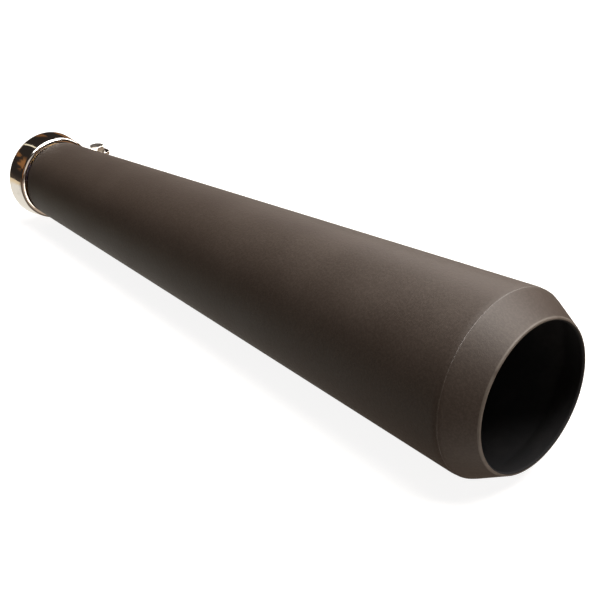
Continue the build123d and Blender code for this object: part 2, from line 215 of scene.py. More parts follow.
def chromePlate():
    finish = Finish("chromePlate", Metallic=1.0)
    haze = finish.noise(190.0, detail=5.0, roughness=0.65).step(0.48, 0.8)
    wave = finish.noise(95.0, detail=1.0)
    hairline = finish.noise(900.0, detail=2.0, stretch=(9.0, 1.0, 1.0))
    finish.feed("Base Color", finish.blend(haze * 0.5, chrome["colour"], chrome["haze"]))
    finish.feed("Roughness", haze * 0.05 + hairline * 0.03 + chrome["roughness"])
    finish.bump(wave * 0.00018 + hairline * 0.000004)
    return finish.material


zinc = {
    "colour": rgb(0.60, 0.585, 0.55),
    "stain": rgb(0.36, 0.34, 0.30),
    "crystal": 1100.0,
    "roughness": 0.24,
}


def zincPlate():
    finish = Finish("zincPlate", Metallic=1.0)
    crystal = finish.node("ShaderNodeTexVoronoi", {"Vector": finish.place, "Scale": zinc["crystal"]})
    stain = finish.noise(260.0, detail=4.0).step(0.5, 0.85)
    finish.feed("Base Color", finish.blend(stain, zinc["colour"], zinc["stain"]))
    finish.feed("Roughness", zinc["roughness"] + crystal * 0.12 + stain * 0.15)
    finish.bump(finish.noise(2400.0, detail=2.0) * 0.00002)
    return finish.material


steel = {
    "colour": rgb(0.27, 0.26, 0.25),
    "rust": rgb(0.16, 0.085, 0.045),
    "roughness": 0.30,
}


def tubeSteel():
    # drawn tube: fine lines along the axis, a light film of rust in patches
    finish = Finish("tubeSteel", Metallic=1.0)
    lines = finish.noise(1500.0, detail=2.0, stretch=(0.05, 1.0, 1.0))
    rust = finish.noise(120.0, detail=6.0, roughness=0.7).step(0.55, 0.75)
    finish.feed("Base Color", finish.blend(rust, steel["colour"], steel["rust"]))
    finish.feed("Metallic", 1 - rust * 0.7)
    finish.feed("Roughness", steel["roughness"] + lines * 0.18 + rust * 0.3)
    finish.bump(lines * 0.00003 + rust * 0.00005)
    return finish.material


sootCoat = {
    "colour": rgb(0.0110, 0.0115, 0.0130),
    "ash": rgb(0.0180, 0.0180, 0.0190),
    "gloss": 0.14,
    "roughness": 0.78,
}


def sootedSteel():
    finish = Finish("sootedSteel", Specular_IOR_Level=sootCoat["gloss"])
    soot = finish.noise(60.0, detail=6.0, roughness=0.65)
    flake = finish.noise(700.0, detail=3.0)
    finish.feed("Base Color", finish.blend(soot.step(0.4, 0.8), sootCoat["colour"], sootCoat["ash"]))
    finish.feed("Roughness", sootCoat["roughness"] + soot * 0.2)
    finish.bump(flake * 0.0001)
    return finish.material


heatTint = [
    (0.30, (0.12, 0.10, 0.09)),
    (0.50, (0.24, 0.16, 0.08)),  # straw
    (0.62, (0.13, 0.11, 0.20)),  # blue
    (0.80, (0.30, 0.29, 0.28)),
]


def weldSteel():
    # bare weld with straw and blue heat tint
    finish = Finish("weldSteel", Metallic=1.0)
    tint = finish.noise(55.0, detail=2.0)
    ramp = finish.node("ShaderNodeValToRGB", {"Fac": tint})
    elements = ramp.socket.node.color_ramp.elements
    while len(elements) < len(heatTint):
        elements.new(0.5)
    for element, (place, colour) in zip(elements, heatTint):
        element.position = place
        element.color = (*colour, 1)
    finish.feed("Base Color", ramp)
    finish.feed("Roughness", 0.28 + tint * 0.3)
    return finish.material


fibre = {
    "shade": rgb(0.52, 0.45, 0.31),
    "pale": rgb(0.80, 0.76, 0.64),
    "scorch": rgb(0.28, 0.20, 0.12),
}


def glassFibre():
    finish = Finish("glassFibre", Sheen_Weight=0.35)
    strands = finish.noise(420.0, detail=6.0, roughness=0.7, stretch=(1.0, 2.4, 0.5))
    tuft = finish.noise(70.0, detail=4.0)
    scorch = tuft.step(0.45, 0.8)
    wool = finish.blend(strands, fibre["shade"], fibre["pale"])
    finish.feed("Base Color", finish.blend(scorch * 0.7, wool, fibre["scorch"]))
    finish.feed("Roughness", 0.75 + strands * 0.2)
    finish.bump(strands * 0.0009 + tuft * 0.0012)
    return finish.material


finishes = {
    "black_paint": blackPaint("blackPaint", paint["roughness"], paint["gloss"]),
    "chrome": chromePlate(),
    "bright_zinc": zincPlate(),
    "bare_steel": tubeSteel(),
    "sooty_steel": sootedSteel(),
    "glass_fibre": glassFibre(),
    "tie_wire": zincPlate(),
}
weldFinish = weldSteel()
seamPaint = blackPaint("seamPaint", 0.36, 0.5)  # the dressed weld at the shoulder is a little shinier
print("finishes made")


# mesh helpers

def newObject(name, mesh):
    made = bpy.data.objects.new(name, mesh)
    bpy.context.scene.collection.objects.link(made)
    return made


def shade(mesh, angle):
    # smooth, with edges sharper than the angle left crisp
    mesh.polygons.foreach_set("use_smooth", [True] * len(mesh.polygons))
    mesh.set_sharp_from_angle(angle=math.radians(angle))


def meshObject(name, points, faces, materials, bands=None, smoothAngle=32.0):
    # a piece from points in metres; bands gives each face's material number
    mesh = bpy.data.meshes.new(name)
    mesh.from_pydata(points, [], faces)
    for material in materials:
        mesh.materials.append(material)
    if bands:
        mesh.polygons.foreach_set("material_index", bands)
    tidy = bmesh.new()
    tidy.from_mesh(mesh)
    bmesh.ops.recalc_face_normals(tidy, faces=tidy.faces)
    tidy.to_mesh(mesh)
    tidy.free()
    shade(mesh, smoothAngle)
    return newObject(name, mesh)


def circle(count):
    # angles spaced evenly round a turn
    return [2 * math.pi * step / count for step in range(count)]


def polarRing(z, count, radius):
    # points round a local Z axis; radius is a number or a function of the angle
    ring = []
    for turn in circle(count):
        r = radius(turn) if callable(radius) else radius
        ring.append(Vector((r * math.cos(turn), r * math.sin(turn), z)))
    return ring


def between(levels, count, closed=False):
    # faces from level to level of rings with count points; closed joins the last level to the first
    faces = []
    for level in range(levels if closed else levels - 1):
        here, above = level * count, (level + 1) % levels * count
        for side in range(count):
            after = (side + 1) % count
            faces.append((here + side, here + after, above + after, above + side))
    return faces


def ends(levels, count):
    # one flat face at the first level and one at the last
    return [tuple(range(count)), tuple(range((levels - 1) * count, levels * count))]


def roundedOutline(corners, steps=8):
    # corners are (x, radius, fillet); each is replaced by an arc of its fillet, of steps + 1 points
    outline = []
    for place, (x, r, fillet) in enumerate(corners):
        here = Vector((x, r))
        before = Vector(corners[place - 1][:2]) - here
        after = Vector(corners[(place + 1) % len(corners)][:2]) - here
        if fillet <= 0:
            outline.append(tuple(here))
            continue
        turn = before.angle(after)
        reach = fillet / math.tan(turn / 2)
        start = here + before.normalized() * reach
        end = here + after.normalized() * reach
        inward = (before.normalized() + after.normalized()).normalized()
        middle = here + inward * (fillet / math.sin(turn / 2))
        sweep = (end - middle).angle_signed(start - middle)
        for step in range(steps + 1):
            arm = start - middle
            arm.rotate(Matrix.Rotation(sweep * step / steps, 2))
            outline.append(tuple(middle + arm))
    return outline


def lathe(name, outline, materials, bandOf, segments=256):
    # turns a closed outline of (x, radius) round the X axis; bandOf gives each band's material number
    points = []
    for x, r in outline:
        for angle in circle(segments):
            points.append((x * mm, r * mm * math.cos(angle), r * mm * math.sin(angle)))
    faces = between(len(outline), segments, closed=True)
    bands = [bandOf(ring) for ring in range(len(outline)) for turn in range(segments)]
    return meshObject(name, points, faces, materials, bands)


def stack(name, rings, material, toWorld, smoothAngle=32.0):
    # a turned or faceted solid from rings of points about a local Z axis, closed at both ends
    count = len(rings[0])
    points = [toWorld @ Vector(point) for ring in rings for point in ring]
    faces = between(len(rings), count)
    for level in (0, len(rings) - 1):
        points.append(toWorld @ (sum((Vector(p) for p in rings[level]), Vector()) / count))
        for turn in range(count):
            faces.append((level * count + turn, level * count + (turn + 1) % count, len(points) - 1))
    return meshObject(name, points, faces, [material], smoothAngle=smoothAngle)


def axisPlace(origin, axis, along=(1, 0, 0)):
    # local Z runs along the axis and local X as near as it can to along; input in millimetres
    z = Vector(axis).normalized()
    x = (Vector(along) - z * z.dot(Vector(along))).normalized()
    y = z.cross(x)
    turn = Matrix((x, y, z)).transposed().to_4x4()
    return Matrix.Translation(Vector(origin) * mm) @ turn @ Matrix.Scale(mm, 4)


def finishPiece(piece, body, slot, *replaced):
    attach(piece, body)
    if replaced:
        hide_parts(*replaced)
    return piece


# outer shell

shell = {
    "startX": span("megaphone_shell")[0],
    "inletR": 27.7,
    "taper": math.atan2(22.3, 410.0),
    "wall": 1.2,
    "bendStartX": 427.8,
    "bendR": 20.0,
    "turn": math.radians(11.1),
    "frontRound": 0.65,
    "edgeRound": 0.12,
}

tail = {
    "slope": math.radians(18.0),
    "bendR": 14.0,
    "turn": math.radians(11.0),
    "wall": 1.4,
    "lipR": 0.95,
    "mouthR": 38.65,
    "mouthX": span("reverse_cone")[1],
    "lipSweep": math.radians(240),
    "lipSteps": 28,
    "cleanLip": 9,  # steps of the lip that are painted; soot covers the rest, and over the lip's inner half it is also painted shade
    "rubbedGlintInset": 0.3,  # ring of rubbed paint and painted highlight on the lip
    "rubbedGlintWidth": 1.0,
}


def coneR(x):
    return shell["inletR"] + math.tan(shell["taper"]) * (x - shell["startX"])


def travel(point, slope, distance):
    return Vector((point[0] + math.cos(slope) * distance, point[1] + math.sin(slope) * distance))


def under(point, slope, depth):
    return Vector((point[0] + math.sin(slope) * depth, point[1] - math.cos(slope) * depth))


edgeSlope = shell["taper"] - shell["turn"]
bendReach = shell["bendR"] * math.tan(shell["turn"] / 2)
shellBend = travel((shell["bendStartX"], coneR(shell["bendStartX"])), shell["taper"], bendReach)
seam = travel(shellBend, edgeSlope, bendReach)
seamX, seamR = seam


def makeShell():
    wall = shell["wall"]
    innerBend = under(shellBend, (shell["taper"] + edgeSlope) / 2, wall / math.cos(shell["turn"] / 2))
    innerSeam = under(seam, edgeSlope, wall)
    corners = [
        (shell["startX"], shell["inletR"], shell["frontRound"]),
        (*shellBend, shell["bendR"]),
        (*seam, shell["edgeRound"]),
        (*innerSeam, 0),
        (*innerBend, shell["bendR"] - wall),
        (shell["startX"], shell["inletR"] - wall, 0.2),
    ]
    arcSteps = 8
    outline = roundedOutline(corners, arcSteps)
    outsideCount = 3 * (arcSteps + 1) + 1  # three rounded corners and one sharp one
    piece = lathe(
        "shellCone", outline, [finishes["black_paint"], finishes["sooty_steel"]],
        bandOf=lambda ring: 0 if ring < outsideCount or ring > len(outline) - 4 else 1,
    )
    return finishPiece(piece, "silencer", "black_paint", "megaphone_shell")


def makeTail():
    slope, wall, lipR = -tail["slope"], tail["wall"], tail["lipR"]
    lastSlope = slope - tail["turn"]
    reach = tail["bendR"] * math.tan(tail["turn"] / 2)
    bend = travel(seam, slope, reach)
    lip = Vector((tail["mouthX"] - lipR, tail["mouthR"] + lipR))
    outline = roundedOutline([
        (*under(seam, slope, wall), 0),
        (*seam, 0.1),
        (*bend, tail["bendR"]),
        (*under(lip, lastSlope, -lipR), 0),
    ])[:-1]
    outsideCount = len(outline)
    # the rolled lip: round the outside, past the mouth and back to the inner wall
    firstAngle = lastSlope + math.pi / 2
    for step in range(tail["lipSteps"] + 1):
        angle = firstAngle - tail["lipSweep"] * step / tail["lipSteps"]
        outline.append((lip[0] + lipR * math.cos(angle), lip[1] + lipR * math.sin(angle)))
    innerBend = under(bend, slope - tail["turn"] / 2, wall / math.cos(tail["turn"] / 2))
    outline.append(tuple(innerBend))
    # the soot over the lip's inner half is real soot and also painted shade on the mouth's inner rim
    lipEnd = outsideCount + tail["cleanLip"]
    piece = lathe(
        "reverseCone", outline, [tailPaint, finishes["sooty_steel"]],
        bandOf=lambda ring: 0 if 0 < ring < lipEnd else 1,
    )
    return finishPiece(piece, "silencer", "black_paint", "reverse_cone")


# the tail's paint has a paler ring on the lip: rubbed paint and a painted highlight
tailPaint = rubbedGlintPaint("tailPaint", (tail["mouthX"] - tail["rubbedGlintInset"]) * mm, tail["rubbedGlintWidth"] * mm)
makeShell()
makeTail()
print("shell made")


# weld beads, laid along a path by geometry nodes

def geometryTree(name, sizes):
    # a tree with a mesh or curve, a number for each size and a finish as its inputs
    tree = bpy.data.node_groups.new(name, "GeometryNodeTree")
    tree.interface.new_socket(name="Geometry", in_out="INPUT", socket_type="NodeSocketGeometry")
    for size in sizes:
        tree.interface.new_socket(name=size, in_out="INPUT", socket_type="NodeSocketFloat")
    tree.interface.new_socket(name="Finish", in_out="INPUT", socket_type="NodeSocketMaterial")
    tree.interface.new_socket(name="Geometry", in_out="OUTPUT", socket_type="NodeSocketGeometry")
    graph = Graph(tree)
    given = graph.node("NodeGroupInput").socket.node
    return graph, [Wire(graph, given.outputs[place]) for place in range(len(sizes) + 2)]


def coat(graph, geometry, material):
    # sets the finish, which ends a geometry tree
    coated = graph.node("GeometryNodeSetMaterial", {"Geometry": geometry, "Material": material})
    graph.node("NodeGroupOutput", {0: coated})
    return graph.tree


def weldTree():
    graph, inputs = geometryTree("weldBead", ("Pitch", "Bead Radius", "Wander"))
    path, pitch, radius, wander, material = inputs
    points = graph.node("GeometryNodeResampleCurve", {"Curve": path, "Length": pitch}, mode="LENGTH")
    ripple = graph.node("GeometryNodeMeshUVSphere", {"Segments": 12, "Rings": 6, "Radius": 1.0})
    flat = graph.node("ShaderNodeCombineXYZ", {"X": radius, "Y": radius, "Z": pitch * 1.15})
    lean = graph.node("GeometryNodeInputTangent")
    turned = graph.node("FunctionNodeAlignRotationToVector", {"Vector": lean}, axis="Z")
    spread = graph.node("FunctionNodeRandomValue", {"Seed": 7}, out=1, data_type="FLOAT")
    spread.socket.node.inputs[2].default_value = -1.0
    grown = 1 + spread * wander
    scale = graph.node("ShaderNodeVectorMath", {0: flat, "Scale": grown}, operation="SCALE")
    sockets = {"Points": points, "Instance": ripple, "Rotation": turned, "Scale": scale}
    laid = graph.node("GeometryNodeInstanceOnPoints", sockets)
    solid = graph.node("GeometryNodeRealizeInstances", {0: laid})
    return coat(graph, graph.node("GeometryNodeSetShadeSmooth", {0: solid}), material)


weldNodes = weldTree()


def settle(source, name):
    # the evaluated result of an object's modifiers as a plain mesh object
    depsgraph = bpy.context.evaluated_depsgraph_get()
    mesh = bpy.data.meshes.new_from_object(source.evaluated_get(depsgraph))
    bpy.data.objects.remove(source)
    mesh.name = name
    return newObject(name, mesh)


def grow(source, tree, values, name):
    # runs a geometry tree on an object and keeps the plain mesh that it makes
    modifier = source.modifiers.new(tree.name, "NODES")
    modifier.node_group = tree
    for item in tree.interface.items_tree:
        if item.in_out == "INPUT" and item.name in values:
            modifier[item.identifier] = values[item.name]
    return settle(source, name)


def pathCurve(name, runs, closed):
    data = bpy.data.curves.new(name, "CURVE")
    data.dimensions = "3D"
    for run in runs:
        spline = data.splines.new("POLY")
        spline.points.add(len(run) - 1)
        for point, place in zip(spline.points, run):
            point.co = (*place, 1)
        spline.use_cyclic_u = closed
    return newObject(name, data)


def layWeld(name, runs, closed, bead, material, *ownership):
    source = pathCurve(name + "Path", runs, closed)
    values = {
        "Pitch": bead["pitch"] * mm, "Bead Radius": bead["r"] * mm,
        "Wander": bead["wander"], "Finish": material,
    }
    return finishPiece(grow(source, weldNodes, values, name), *ownership)


def ringPath(x, r, count=240):
    return [(x * mm, r * mm * math.cos(turn), r * mm * math.sin(turn)) for turn in circle(count)]


# inlet clamp

clamp = {
    "startX": span("clamp_band")[0],
    "endX": span("clamp_band")[1],
    "frontR": 31.7,
    "drop": 2.0,  # the web is this much lower at its back edge
    "flange": 6.9,  # depth of the turned-in edges
    "sheet": 1.5,
    "corner": 2.6,
    "angle": math.radians(2.0),
    "earTop": 8.9,  # outer face of each ear above the middle of the gap
    "earBend": 4.0,
    "earReach": 48.5,
    "earWidth": 13.0,
    "earLip": 2.4,
    "earTip": 5.0,  # radius of the ear's outer corners
    "flatStations": (40.0, 37.0, 35.0),
    "fadeEnd": math.radians(36),  # from here round, the band has its full channel
    "boltReach": math.hypot(*joints["clamp_bolt_turn"]["pos_m"][1:]) / mm,
    "holeR": 3.3,
}
clampMidX = (clamp["startX"] + clamp["endX"]) / 2
clampTurn = Matrix.Rotation(clamp["angle"], 4, "X")


def smooth(value):
    value = min(1, max(0, value))
    return value * value * (3 - 2 * value)


def clampHalfPath():
    # stations from an ear's tip to the far side of the band, each
    # (out, up, angle of the outward normal, share of ear, half the ear's width)
    frontR, bend, top = clamp["frontR"], clamp["earBend"], clamp["earTop"]
    bendAngle = math.asin((top + bend) / (frontR + bend))
    bendOut = (frontR + bend) * math.cos(bendAngle)
    flatWidth = clamp["earWidth"] / 2
    stations = []
    tipSteps, bendSteps, bandSteps = 12, 14, 150
    for step in range(tipSteps + 1):
        angle = math.pi / 2 * step / tipSteps
        out = clamp["earReach"] - clamp["earTip"] * (1 - math.cos(angle))
        half = flatWidth - clamp["earTip"] * (1 - math.sin(angle))
        stations.append((out, top, math.pi / 2, 1.0, half))
    for out in clamp["flatStations"]:
        stations.append((out, top, math.pi / 2, 1.0, flatWidth))
    for step in range(bendSteps + 1):
        angle = math.pi / 2 - (math.pi / 2 - bendAngle) * step / bendSteps
        out, up = bendOut - bend * math.cos(angle), top + bend - bend * math.sin(angle)
        share = 1 - smooth(0.62 * step / bendSteps)
        stations.append((out, up, angle, share, flatWidth))
    bendShare = stations[-1][3]
    for step in range(1, bandSteps + 1):
        angle = bendAngle + (math.pi - bendAngle) * step / bandSteps
        fade = min(1, (angle - bendAngle) / (clamp["fadeEnd"] - bendAngle))
        share = bendShare * (1 - smooth(fade))
        stations.append((frontR * math.cos(angle), frontR * math.sin(angle), angle, share, flatWidth))
    return stations


def clampSection(share, earHalf):
    # outline of the pressed channel as (x, depth under the web), blended from band to ear
    def mix(band, ear):
        return band + (ear - band) * share

    left, right = mix(clamp["startX"], clampMidX - earHalf), mix(clamp["endX"], clampMidX + earHalf)
    drop, sheet = mix(clamp["drop"], 0), mix(clamp["sheet"], clamp["earLip"] - 0.25)
    flange = mix(clamp["flange"], clamp["earLip"])
    outer, inner = mix(clamp["corner"], 0.45), mix(clamp["corner"] - clamp["sheet"], 0.1)
    edge = mix(0.3, 0.1)
    wall = min(clamp["sheet"], (right - left) * 0.3)
    return roundedOutline([
        (left, 0, outer), (right, drop, outer),
        (right, flange, edge), (right - wall, flange, edge),
        (right - wall, drop + sheet, inner), (left + wall, sheet, inner),
        (left + wall, flange, edge), (left, flange, edge),
    ], steps=6)


def makeClamp():
    half = clampHalfPath()
    stations = [(*s, 1) for s in half] + [(*s, -1) for s in reversed(half[:-1])]
    points = []
    for out, up, angle, share, earHalf, side in stations:
        for x, depth in clampSection(share, earHalf):
            place = Vector((x, out - depth * math.cos(angle), side * (up - depth * math.sin(angle))))
            points.append(clampTurn @ (place * mm))
    count = len(points) // len(stations)
    faces = between(len(stations), count) + ends(len(stations), count)
    band = meshObject("clampBand", points, faces, [finishes["chrome"]])
    rings = [polarRing(z, 64, clamp["holeR"]) for z in (-12, 12)]
    holes = stack("boltHoles", rings, finishes["chrome"], boltSeat(0))
    cut = band.modifiers.new("holes", "BOOLEAN")
    cut.operation, cut.object, cut.solver = "DIFFERENCE", holes, "EXACT"
    band = settle(band, "clampBand")
    bpy.data.objects.remove(holes)
    shade(band.data, 32)
    return finishPiece(band, "clamp", "chrome", "clamp_band")


def boltSeat(height, up=1):
    # place on the clamp bolt's axis, at a height above the middle of the gap
    origin = clampTurn @ Vector((clampMidX, clamp["boltReach"], height))
    return axisPlace(origin, clampTurn @ Vector((0, 0, up)))


# hexagon bolts and nuts

fastener = {
    "flats": 10.0,
    "sides": 96,
    "bevel": math.radians(30),
    "bevelLevels": 6,
    "faceShare": 0.95,  # round flat on top, as a share of the flats
    "threadR": 3.0,
    "pitch": 1.0,
    "threadDepth": 0.5,
    "perTurn": 8,  # levels in one turn of thread
    "tipThin": 0.75,  # the shank's chamfered tip
    "tipLength": 0.5,
    "head": 4.0,
    "padR": 4.7,  # raised pad under the head
    "padHeight": 0.35,
    "dishR": 3.9,  # forged dish in the top
    "dishDepth": 0.12,
    "nut": 5.0,
    "nutBoreR": 3.05,
    "nutMouth": 0.5,  # countersink at each end of the nut's bore
    "washer": 1.0,
    "pastWasher": 8.2,  # length of shank below the lower washer
    "lift": 0.02,  # air under a head, so that it turns without touching
}


def hexRing(z, crown, most=99.0):
    # a ring of the hexagon at height z, no further out than most
    def reach(angle):
        fromFlat = (angle + math.pi / 6) % (math.pi / 3) - math.pi / 6
        return min(crown / math.cos(fromFlat), most)

    return polarRing(z, fastener["sides"], reach)


def roundRing(z, r):
    return polarRing(z, fastener["sides"], r)


def hexLevels(height, bothEnds):
    # rings up the side of a hexagon whose corners are taken off by a cone
    crown = fastener["flats"] / 2
    corner = crown / math.cos(math.pi / 6)
    fall = math.tan(fastener["bevel"])
    face = crown * fastener["faceShare"]
    levels = fastener["bevelLevels"]
    radii = [corner + 0.01 - (corner + 0.01 - face) * step / levels for step in range(levels + 1)]
    up = [hexRing(height - (r - face) * fall, crown, r) for r in radii]
    down = [hexRing((r - face) * fall, crown, r) for r in reversed(radii)]
    if not bothEnds:
        down = [hexRing(fastener["padHeight"], crown - 0.25), hexRing(fastener["padHeight"] + 0.2, crown)]
    return down + up


def threadGroove(z, angle, pitch):
    # 0 on a thread's crest and 1 in its root
    turn = (z / pitch - angle / (2 * math.pi)) % 1
    return smooth(1.15 * (1 - abs(2 * turn - 1)))


def threadRings(low, high):
    # one level after another up a thread that runs out at both ends
    threadR, pitch, sides = fastener["threadR"], fastener["pitch"], fastener["sides"]
    steps = round((high - low) / pitch * fastener["perTurn"])
    rings = []
    for level in range(steps + 1):
        z = low + (high - low) * level / steps
        depth = fastener["threadDepth"] * smooth(min(z - low, high - z) / pitch)
        rings.append(polarRing(z, sides, lambda angle: threadR - depth * threadGroove(z, angle, pitch)))
    return rings


def makeBolt(name, place, shank, threadFrom, *ownership):
    # z is 0 at the head's underside; the shank runs down to -shank
    shankR, padR, padHeight = fastener["threadR"], fastener["padR"], fastener["padHeight"]
    rings = [roundRing(-shank, shankR - fastener["tipThin"])]
    rings += threadRings(-shank + fastener["tipLength"], -threadFrom)
    rings += [roundRing(-threadFrom + 0.05, shankR), roundRing(0, shankR)]
    rings += [roundRing(0, padR), roundRing(padHeight, padR)]
    rings += hexLevels(fastener["head"], False)
    rings.append(roundRing(fastener["head"] - fastener["dishDepth"], fastener["dishR"]))
    bolt = stack(name, rings, finishes["bright_zinc"], place, smoothAngle=28)
    return finishPiece(bolt, *ownership)


def makeNut(name, place, *ownership):
    height, boreR, mouth = fastener["nut"], fastener["nutBoreR"], fastener["nutMouth"]
    rings = hexLevels(height, True)
    rings += [roundRing(height, boreR + mouth), roundRing(height - mouth, boreR)]
    rings += [roundRing(mouth, boreR), roundRing(0, boreR + mouth)]
    points = [place @ Vector(point) for ring in rings for point in ring]
    faces = between(len(rings), len(rings[0]), closed=True)
    nut = meshObject(name, points, faces, [finishes["bright_zinc"]], smoothAngle=28)
    return finishPiece(nut, *ownership)


makeClamp()
headSeat = clamp["earTop"] + fastener["washer"] + fastener["lift"]
makeBolt(
    "clampBolt", boltSeat(headSeat), 2 * headSeat + fastener["pastWasher"], headSeat,
    "clamp_bolt", "bright_zinc", "clamp_bolt",
)
makeNut("clampNut", boltSeat(-headSeat, -1), "clamp_nut", "bright_zinc", "clamp_nut")
print("clamp made")

# back of the shell: baffle screw and hanger rail

back = {
    "angle": math.radians(-34),
    "screwX": joints["baffle_screw_turn"]["pos_m"][0] / mm,
    "bossHeight": 6.5,
    "rimR": outerR("rear_plate"),
    "tipGap": 0.1,  # from the screw's tip to the rim
    "threadFrom": 0.6,  # plain length under the screw's head
    "railX": 318.0,
    "railWidth": 21.0,
    "railLength": 84.0,
}
backOut = Vector((0, math.cos(back["angle"]), math.sin(back["angle"])))

springWasher = {
    "outerR": 5.6,
    "innerR": 3.2,
    "thickness": 1.4,
    "gap": math.radians(9),
    "slant": 0.22,
    "edge": 0.25,
    "steps": 90,
}


def screwSeat(height):
    # radius and place on the baffle screw's axis, at a height above the boss
    r = coneR(back["screwX"]) + back["bossHeight"] + height
    return r, axisPlace(Vector((back["screwX"], 0, 0)) + backOut * r, backOut)


def makeBaffleScrew():
    seatR, place = screwSeat(springWasher["thickness"] + 2 * fastener["lift"])
    reach = seatR - back["rimR"] - back["tipGap"]
    makeBolt("baffleScrew", place, reach, back["threadFrom"], "baffle_screw", "bright_zinc", "baffle_screw")


def makeSpringWasher():
    # a split washer: a square section wound a little under one turn, with a slanted gap
    inner, outer, thick = springWasher["innerR"], springWasher["outerR"], springWasher["thickness"]
    edge, gap, steps = springWasher["edge"], springWasher["gap"], springWasher["steps"]
    place = screwSeat(fastener["lift"])[1]
    corners = [(inner, 0, edge), (outer, 0, edge), (outer, thick, edge), (inner, thick, edge)]
    section = roundedOutline(corners, steps=3)
    points = []
    for step in range(steps + 1):
        for r, z in section:
            slant = (z / thick - 0.5) * springWasher["slant"]
            angle = gap / 2 + (2 * math.pi - gap) * step / steps + slant
            points.append(place @ Vector((r * math.cos(angle), r * math.sin(angle), z)))
    faces = between(steps + 1, len(section)) + ends(steps + 1, len(section))
    piece = meshObject("screwSpringWasher", points, faces, [finishes["bright_zinc"]])
    return finishPiece(piece, "baffle_screw", "bright_zinc", "screw_lock_washer")


makeBaffleScrew()
makeSpringWasher()
print("fasteners made")

# welds: where a round one runs, and each bead's radius, ripple pitch and unevenness

shoulderBead = {"x": seamX, "ringR": seamR - 0.66, "r": 0.75, "pitch": 0.60, "wander": 0.01}
neckBead = {"x": 21.3, "ringR": 25.2, "r": 1.0, "pitch": 0.95, "wander": 0.08}
coreBead = {"x": 242.2, "ringR": 19.6, "r": 1.35, "pitch": 1.2, "wander": 0.08}
railBead = {"r": 1.7, "pitch": 1.35, "wander": 0.1, "endGap": 5.0, "standOff": 0.35}


def railWeldPaths():
    # along both legs of the rail, where they meet the cone
    paths = []
    sideways = Vector((1, 0, 0)).cross(backOut)
    halfRun = back["railLength"] / 2 - railBead["endGap"]
    halfSteps = 20
    for side in (-1, 1):
        offset = side * (back["railWidth"] / 2 + railBead["standOff"])
        path = []
        for step in range(2 * halfSteps + 1):
            x = back["railX"] + halfRun * (step / halfSteps - 1)
            rise = math.sqrt((coneR(x) + railBead["standOff"]) ** 2 - offset ** 2)
            path.append(tuple((Vector((x, 0, 0)) + backOut * rise + sideways * offset) * mm))
        paths.append(path)
    return paths


layWeld(
    "shoulderWeld", [ringPath(shoulderBead["x"], shoulderBead["ringR"], 360)], True, shoulderBead, seamPaint,
    "silencer", "black_paint", "shoulder_weld",
)
layWeld(
    "neckWeld", [ringPath(neckBead["x"], neckBead["ringR"])], True, neckBead, weldFinish,
    "silencer", "bare_steel", "neck_weld",
)
layWeld(
    "coreWeld", [ringPath(coreBead["x"], coreBead["ringR"])], True, coreBead, finishes["sooty_steel"],
    "baffle", "sooty_steel", "core_weld",
)
layWeld(
    "hangerRailWelds", railWeldPaths(), False, railBead, finishes["black_paint"],
    "silencer", "black_paint", "hanger_rail_welds",
)
print("welds laid")


# baffle packing: a glass-fibre sleeve held by wire ties

packing = {
    "startX": span("glass_fibre_packing")[0],
    "endX": span("glass_fibre_packing")[1],
    "coreR": outerR("core_tube"),
    "gap": 1.6,
    "ties": 3,
    "wireR": 0.8,
    "groove": 1.5,  # how deep a tie sinks, and how far along that shows
    "grooveReach": 7.0,
    "lump": 0.7,  # how far the wool swells and sinks, away from the ties
    "lumpReach": 5.0,
    "endRound": 2.2,
    "endReach": 4.0,
    "tailLength": 15.0,  # twisted ends of a tie
    "tailTwists": 3.5,
    "tailThin": 0.62,  # their radius, as a share of the wire's
    "tailDip": 0.1,  # how deep they lie at the tie, and how much deeper at their tip
    "tailDive": 0.9,
    "tailTurn": 0.9,  # where the first tie's ends are, and how far round the next one's
    "tailStep": 2.1,
    "strands": 62000.0,  # per square metre
    "strandR": 0.00011,
    "strandBend": 0.011,
}


def packingR(x):
    return coneR(x) - shell["wall"] - packing["gap"]


tieSpacing = (packing["endX"] - packing["startX"]) / packing["ties"]
tiePlaces = [packing["startX"] + tieSpacing * (tie + 0.5) for tie in range(packing["ties"])]


def tieGap(x):
    return min(abs(x - tie) for tie in tiePlaces)


def strandTree():
    # loose fibres lying on a surface, each a short thin arc
    graph, inputs = geometryTree("looseFibres", ("Density", "Strand Radius", "Bend Radius"))
    skin, density, strandR, bend, material = inputs
    sockets = {"Mesh": skin, "Density": density, "Seed": 11}
    spread = graph.node("GeometryNodeDistributePointsOnFaces", sockets)
    facing = Wire(graph, spread.socket.node.outputs["Rotation"])
    arc = graph.node("GeometryNodeCurveArc", {"Resolution": 5, "Radius": bend, "Sweep Angle": 0.85})
    middle = graph.node("ShaderNodeCombineXYZ", {"X": bend * -0.9, "Y": bend * -0.4, "Z": 0.0})
    centred = graph.node("GeometryNodeTransform", {"Geometry": arc, "Translation": middle})
    ring = graph.node("GeometryNodeCurvePrimitiveCircle", {"Resolution": 3, "Radius": strandR})
    strand = graph.node("GeometryNodeCurveToMesh", {"Curve": centred, "Profile Curve": ring})
    spin = graph.node("FunctionNodeRandomValue", {"Seed": 5}, data_type="FLOAT_VECTOR")
    spin.socket.node.inputs[0].default_value = (-0.10, -0.10, 0.0)
    spin.socket.node.inputs[1].default_value = (0.10, 0.10, 6.28)
    turn = graph.node("FunctionNodeEulerToRotation", {0: spin})
    sockets = {"Rotation": facing, "Rotate By": turn}
    aimed = graph.node("FunctionNodeRotateRotation", sockets, rotation_space="LOCAL")
    sockets = {"Points": spread, "Instance": strand, "Rotation": aimed}
    laid = graph.node("GeometryNodeInstanceOnPoints", sockets)
    solid = graph.node("GeometryNodeRealizeInstances", {0: laid})
    both = graph.node("GeometryNodeJoinGeometry")
    for part in (solid, skin):
        graph.tree.links.new(part.socket, both.socket.node.inputs[0])
    return coat(graph, both, material)


